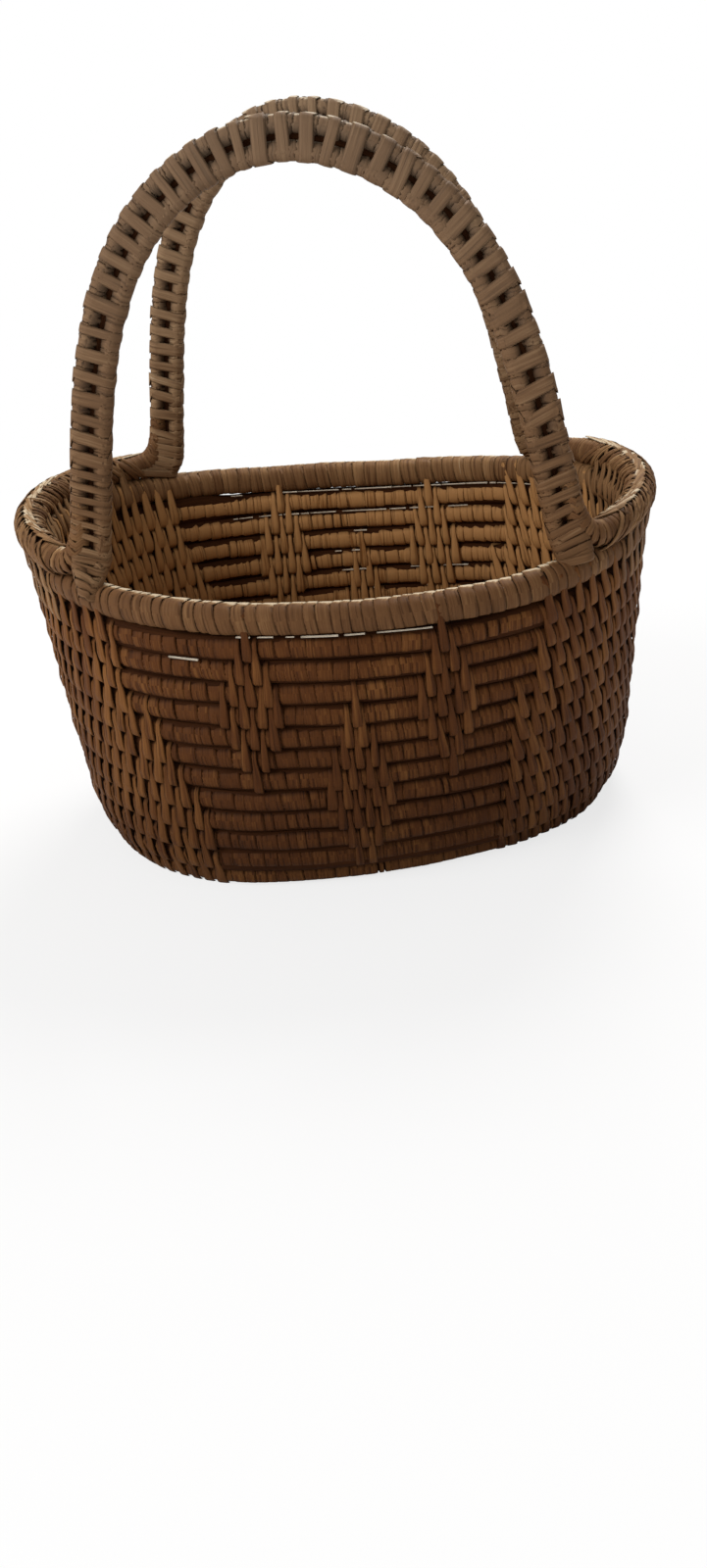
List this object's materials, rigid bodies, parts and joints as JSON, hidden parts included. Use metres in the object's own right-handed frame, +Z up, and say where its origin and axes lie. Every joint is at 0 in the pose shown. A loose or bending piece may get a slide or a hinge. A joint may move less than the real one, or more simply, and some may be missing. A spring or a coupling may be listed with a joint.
{
  "type": "grass basket",
  "caption": "Oval coiled grass basket with an open top, raised rims at both ends and paired arched handles bound in a figure of eight.",
  "frame": {"origin": "on the floor under the middle of the basket", "axes": "+Z up, +X along the long way of the oval to the right in the picture, +Y away from the camera, across the oval"},
  "size_m": [0.2961, 0.2128, 0.3254],
  "materials": {
    "grass_coil": "dry grass bundle wrapped with flat leaf strip, satin to matt",
    "rim_grass": "dry grass coil wrapped with paler leaf strip, satin",
    "handle_grass": "dry grass coil, matt",
    "leaf_strip": "flat dry leaf strip, satin"
  },
  "bodies": {
    "root": {"base_coil": "grass_coil", "wall_coil": "grass_coil", "rim_coil": "rim_grass", "left_end_rim": "rim_grass", "right_end_rim": "rim_grass", "left_end_wrapping": "leaf_strip", "right_end_wrapping": "leaf_strip", "front_handle_outer_coil": "handle_grass", "front_handle_inner_coil": "handle_grass", "rear_handle_outer_coil": "handle_grass", "rear_handle_inner_coil": "handle_grass", "front_handle_binding": "leaf_strip", "rear_handle_binding": "leaf_strip", "foot_lashing_front_left": "leaf_strip", "foot_lashing_front_right": "leaf_strip", "foot_lashing_rear_left": "leaf_strip", "foot_lashing_rear_right": "leaf_strip"}
  },
  "joints": []
}
